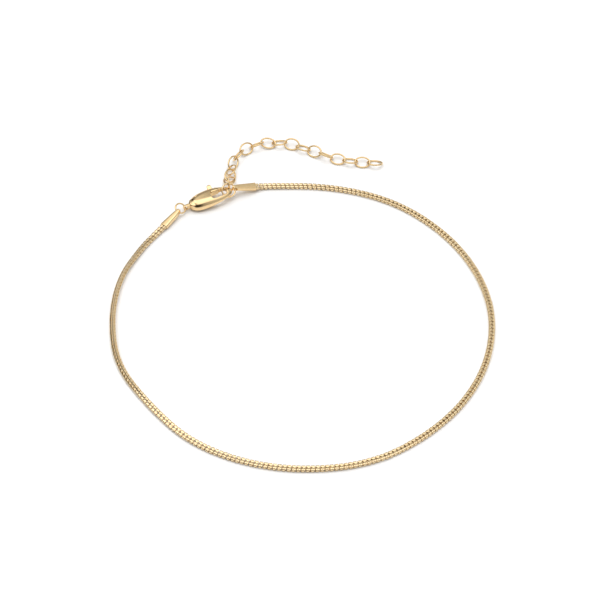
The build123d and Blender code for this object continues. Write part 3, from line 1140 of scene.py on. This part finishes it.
class ANKLET_OT_extender(bpy.types.Operator):
    """Builds the extender's oval wire links, each hung in the last"""

    bl_idname = "anklet.extender"
    bl_label = "Extender chain"

    def execute(self, context):
        size = context.scene.anklet_extender
        route = Line(route_line(EXTENDER_ROUTE, "extender_route"))
        half_length = (size.link_length - size.wire) / 2
        half_width = (size.link_width - size.wire) / 2
        link = oval([half_length, 0, 0], [0, half_width, 0], LINK_STEPS)
        verts, faces = tube(link, size.wire / 2, LINK_SIDES)
        centre, axes, half = main_axes(node_points("end_ring"))
        radius = (half[0] + half[1]) / 2 - half[2]
        held = [centre + oval(radius * axes[0], radius * axes[1], LINK_STEPS)]
        spots = []
        for lie in EXTENDER_LINKS:
            turn, place, line = hang_link(route, lie, link, size.wire, held[-2:])
            held.append(line)
            spots.append(verts @ turn.T + place)
        faces = repeat_faces(faces, len(verts), len(spots))
        piece = new_piece("extender_links", np.concatenate(spots), faces)
        finish = gold_finish("extender_gold", patch=1.6, rough=(0.10, 0.22), gap_shade=0.2)
        settle(piece, "anklet", "extender_chain", finish)
        return {"FINISHED"}


# ---- floor, light and camera


def lobe(tree, direction, toward, inner, outer, x, y):
    """1 near a direction of the sky, falling smoothly to 0. Angles in degrees."""
    dot = put(tree, "ShaderNodeVectorMath", x, y, operation="DOT_PRODUCT")
    for socket, value in zip(dot.inputs, (direction, Vector(toward).normalized())):
        give(tree, socket, value)
    gone, full = math.cos(math.radians(outer)), math.cos(math.radians(inner))
    return spread_values(tree, dot.outputs["Value"], gone, full, 0.0, 1.0, x + 180, y, smooth=True)


# The studio as the metal sees it: direction, full within, gone beyond (degrees), brightness.
SKY_BASE = 0.05
SKY_DARKEST = 0.02
SKY_LOBES = (
    ((0.0, -0.05, 1.0), 8, 52, 1.5),
    ((0.0, 0.85, 0.75), 12, 50, 0.36),
    ((-0.68, 0.12, 0.72), 12, 28, 1.1),
    ((0.72, 0.66, 0.12), 12, 45, 0.7),
    ((0.80, -0.50, 0.35), 15, 42, 0.5),
)
# The window light, and the fill that the metal doesn't mirror.
SUN_FROM = (-0.42, 0.62, 0.56)
SUN_STRENGTH = 0.3
SUN_SOFTNESS = 12
FILL_AT = (0.05, 0.5, 2.5)
FILL_SIZE = 2.0
FILL_POWER = 24.0
TABLE_REACH = 4.0
SPECK_SHADE = 0.985
# What the camera looks at, in metres, and its lens, in millimetres.
CAMERA_AIM = (-0.00035, 0.00625, 0.0)
CAMERA_LENS = 234.4


class ANKLET_OT_stage(bpy.types.Operator):
    """Builds the pale table, the soft studio light and the camera"""

    bl_idname = "anklet.stage"
    bl_label = "Table, light and camera"

    def execute(self, context):
        scene = context.scene
        stage = scene.anklet_stage
        self.table(stage)
        self.sky(scene, stage)
        self.lamps(stage)
        self.camera(scene, stage)
        scene.view_settings.view_transform = "Standard"
        return {"FINISHED"}

    def table(self, stage):
        verts = [(x * TABLE_REACH, y * TABLE_REACH, 0) for x, y in ((-1, -1), (1, -1), (1, 1), (-1, 1))]
        table_top = new_piece("table_top", verts, [(0, 1, 2, 3)])
        material, tree = new_material("table_white")
        speck = noise(tree, millimetres(tree, -1100, 0), 0.02, 2.0, 0.5, -700, 0)
        darker = [c * SPECK_SHADE for c in stage.floor]
        tone = blend_colours(tree, speck, (*stage.floor, 1), (*darker, 1), -400, 100)
        rough = spread_values(tree, speck, 0.3, 0.7, 0.30, 0.36, -400, -150)
        show_surface(tree, -100, 100, Base_Color=tone, Roughness=rough, Specular_IOR_Level=0.35)
        table_top.data.materials.append(material)

    def sky(self, scene, stage):
        world = bpy.data.worlds.new("studio")
        scene.world = world
        world.use_nodes = True
        tree = world.node_tree
        tree.nodes.clear()
        where = put(tree, "ShaderNodeTexCoord", -1400, 0)
        total = SKY_BASE
        for i, (toward, inner, outer, gain) in enumerate(SKY_LOBES):
            part = lobe(tree, where.outputs["Generated"], toward, inner, outer, -1200, -200 * i)
            gained = maths(tree, "MULTIPLY", part, gain, -800, -200 * i)
            total = maths(tree, "ADD", gained, total, -600, -200 * i)
        total = maths(tree, "MAXIMUM", total, SKY_DARKEST, -400, 0)
        seen = put(tree, "ShaderNodeLightPath", -400, 300)
        grey = put(tree, "ShaderNodeCombineColor", -250, 0)
        feed(tree, grey, Red=total, Green=total, Blue=total)
        white = (1.0, 1.0, 1.0, 1)
        shown = blend_colours(tree, seen.outputs["Is Camera Ray"], grey.outputs["Color"], white, -50, 100)
        light = put(tree, "ShaderNodeBackground", 150, 0)
        feed(tree, light, Color=shown, Strength=stage.light)
        feed(tree, put(tree, "ShaderNodeOutputWorld", 350, 0), Surface=light.outputs[0])

    def lamps(self, stage):
        sun = bpy.data.lights.new("back_left_window", "SUN")
        sun.energy = SUN_STRENGTH * stage.light
        sun.angle = math.radians(SUN_SOFTNESS)
        fill = bpy.data.lights.new("back_fill", "AREA")
        fill.shape = "SQUARE"
        fill.size = FILL_SIZE
        fill.energy = FILL_POWER * stage.light
        for lamp, place, at in ((sun, SUN_FROM, (0, 0, 0)), (fill, FILL_AT, FILL_AT)):
            holder = link_object(lamp.name, lamp)
            holder.location = at
            holder.rotation_euler = (-Vector(place)).to_track_quat("-Z", "Y").to_euler()
            holder.visible_glossy = False

    def camera(self, scene, stage):
        data = bpy.data.cameras.new("camera")
        data.lens = CAMERA_LENS
        data.sensor_width = 36
        data.clip_start = 0.01
        holder = link_object("camera", data)
        tilt = stage.camera_height
        back = Vector((0, -math.cos(tilt), math.sin(tilt)))
        holder.location = Vector(CAMERA_AIM) + back * stage.camera_distance
        holder.rotation_euler = (math.pi / 2 - tilt, 0, 0)
        scene.camera = holder


# ---- panel and registration


class ANKLET_PT_panel(bpy.types.Panel):
    """Lists the anklet's settings and the buttons that build it"""

    bl_label = "Chain Anklet"
    bl_idname = "ANKLET_PT_panel"
    bl_space_type = "VIEW_3D"
    bl_region_type = "UI"
    bl_category = "Anklet"

    def draw(self, context):
        for title, owner, group in SETTINGS:
            box = self.layout.box()
            box.label(text=title)
            settings = getattr(context.scene, owner)
            for key in group.__annotations__:
                box.prop(settings, key)
        for operator in OPERATORS:
            self.layout.operator(operator.bl_idname)


SETTINGS = (
    ("Flat chain", "anklet_chain", ChainSettings),
    ("Extender", "anklet_extender", ExtenderSettings),
    ("Finish", "anklet_finish", FinishSettings),
    ("Stage", "anklet_stage", StageSettings),
)
OPERATORS = (
    ANKLET_OT_stage,
    ANKLET_OT_flat_chain,
    ANKLET_OT_end_caps,
    ANKLET_OT_rings,
    ANKLET_OT_clasp_body,
    ANKLET_OT_clasp_lever,
    ANKLET_OT_lever_pin,
    ANKLET_OT_extender,
)


def register():
    for _, owner, group in SETTINGS:
        bpy.utils.register_class(group)
        setattr(bpy.types.Scene, owner, PointerProperty(type=group))
    for item in (*OPERATORS, ANKLET_PT_panel):
        bpy.utils.register_class(item)


def unregister():
    for item in (ANKLET_PT_panel, *reversed(OPERATORS)):
        bpy.utils.unregister_class(item)
    for _, owner, group in reversed(SETTINGS):
        delattr(bpy.types.Scene, owner)
        bpy.utils.unregister_class(group)


def main():
    register()
    bpy.ops.anklet.stage()
    bpy.ops.anklet.flat_chain()
    bpy.ops.anklet.end_caps()
    bpy.ops.anklet.rings()
    bpy.ops.anklet.clasp_body()
    bpy.ops.anklet.clasp_lever()
    bpy.ops.anklet.lever_pin()
    bpy.ops.anklet.extender()


if __name__ == "__main__":
    main()
